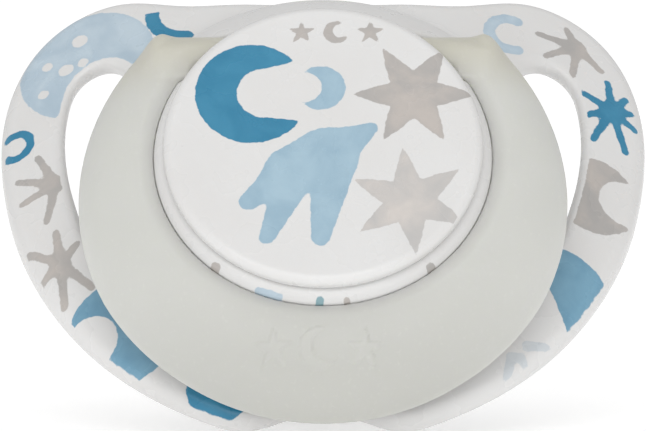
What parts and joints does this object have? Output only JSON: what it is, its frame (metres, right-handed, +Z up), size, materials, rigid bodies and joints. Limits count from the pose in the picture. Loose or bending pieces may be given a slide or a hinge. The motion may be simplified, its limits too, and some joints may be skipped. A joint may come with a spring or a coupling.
{
  "type": "pacifier",
  "caption": "Baby's pacifier: curved shield with two air openings, round button, hinged pull ring and a silicone teat, standing on its shield's lower edge and teat.",
  "frame": {"origin": "middle of the base of the bounding box, on the surface that the pacifier stands on", "axes": "+X to the right of the shield seen from the front, -Y to the front where the button is, +Z up; the shield leans back from the front"},
  "size_m": [0.0606, 0.0406, 0.0397],
  "materials": {
    "shield_plastic": "glossy white moulded polypropylene with printed moons and stars in blue and beige",
    "ring_plastic": "satin greenish white plastic that glows in the dark, slightly cloudy",
    "button_plastic": "glossy white moulded polypropylene",
    "cover_plastic": "glossy white disc with printed moons, stars and a comet in blue and beige",
    "silicone": "clear, slightly milky silicone rubber"
  },
  "bodies": {
    "shield": {"shield": "shield_plastic", "button_body": "button_plastic", "button_cover": "cover_plastic", "teat": "silicone"},
    "ring": {"ring": "ring_plastic"}
  },
  "joints": [
    {"name": "ring_lift", "type": "hinge", "parent": "shield", "child": "ring", "pos_m": [0, -0.00152, 0.03427], "axis": [-1, 0, 0], "range_deg": [0, 95]}
  ]
}
